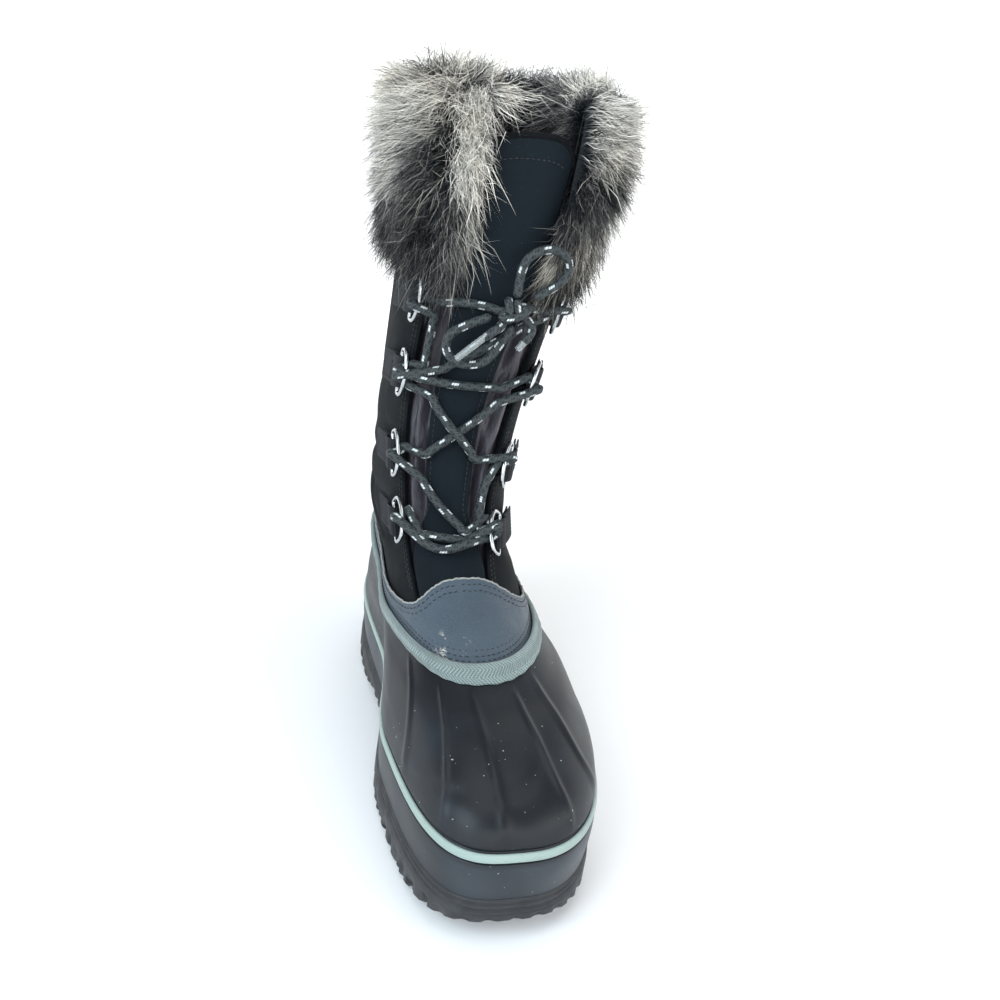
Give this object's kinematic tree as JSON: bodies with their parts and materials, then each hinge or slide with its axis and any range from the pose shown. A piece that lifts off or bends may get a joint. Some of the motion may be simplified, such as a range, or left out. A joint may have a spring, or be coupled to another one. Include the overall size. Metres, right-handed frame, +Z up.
{
  "type": "snow boot",
  "caption": "Women's left winter boot with a moulded rubber shell on a lugged sole, a laced fabric shaft and a fur cuff.",
  "frame": {"origin": "on the ground, under the middle of the heel", "axes": "+Z up, toes towards -Y, +X towards the outer side of the foot"},
  "size_m": [0.1293, 0.3197, 0.3358],
  "materials": {
    "shell_rubber": "satin",
    "sole_rubber": "matte",
    "pale_stripe": "satin",
    "woven_band": "woven",
    "smooth_leather": "smooth",
    "shaft_fabric": "matte",
    "gusset_satin": "satin",
    "cuff_fur": "long pile",
    "ring_steel": "bright",
    "loop_webbing": "woven",
    "lace_cord": "braided",
    "clear_aglet": "clear",
    "insole_felt": "felt"
  },
  "bodies": {
    "root": {"outsole": "sole_rubber", "insole": "insole_felt", "rubber_shell": "shell_rubber", "foxing_stripe": "pale_stripe", "topline_band": "woven_band", "leather_overlay": "smooth_leather", "upper": "shaft_fabric", "tongue": "shaft_fabric", "gusset_outer": "gusset_satin", "gusset_inner": "gusset_satin", "fur_cuff": "cuff_fur", "lace_crossings": "lace_cord", "lace_knot": "lace_cord", "lace_loop_up": "lace_cord", "lace_loop_down": "lace_cord", "lace_end_short": "lace_cord", "lace_end_long": "lace_cord", "aglet_short": "clear_aglet", "aglet_long": "clear_aglet", "ring_outer_1": "ring_steel", "webbing_outer_1": "loop_webbing", "ring_outer_2": "ring_steel", "webbing_outer_2": "loop_webbing", "ring_outer_3": "ring_steel", "webbing_outer_3": "loop_webbing", "ring_outer_4": "ring_steel", "webbing_outer_4": "loop_webbing", "ring_inner_1": "ring_steel", "webbing_inner_1": "loop_webbing", "ring_inner_2": "ring_steel", "webbing_inner_2": "loop_webbing", "ring_inner_3": "ring_steel", "webbing_inner_3": "loop_webbing", "ring_inner_4": "ring_steel", "webbing_inner_4": "loop_webbing"}
  },
  "joints": []
}
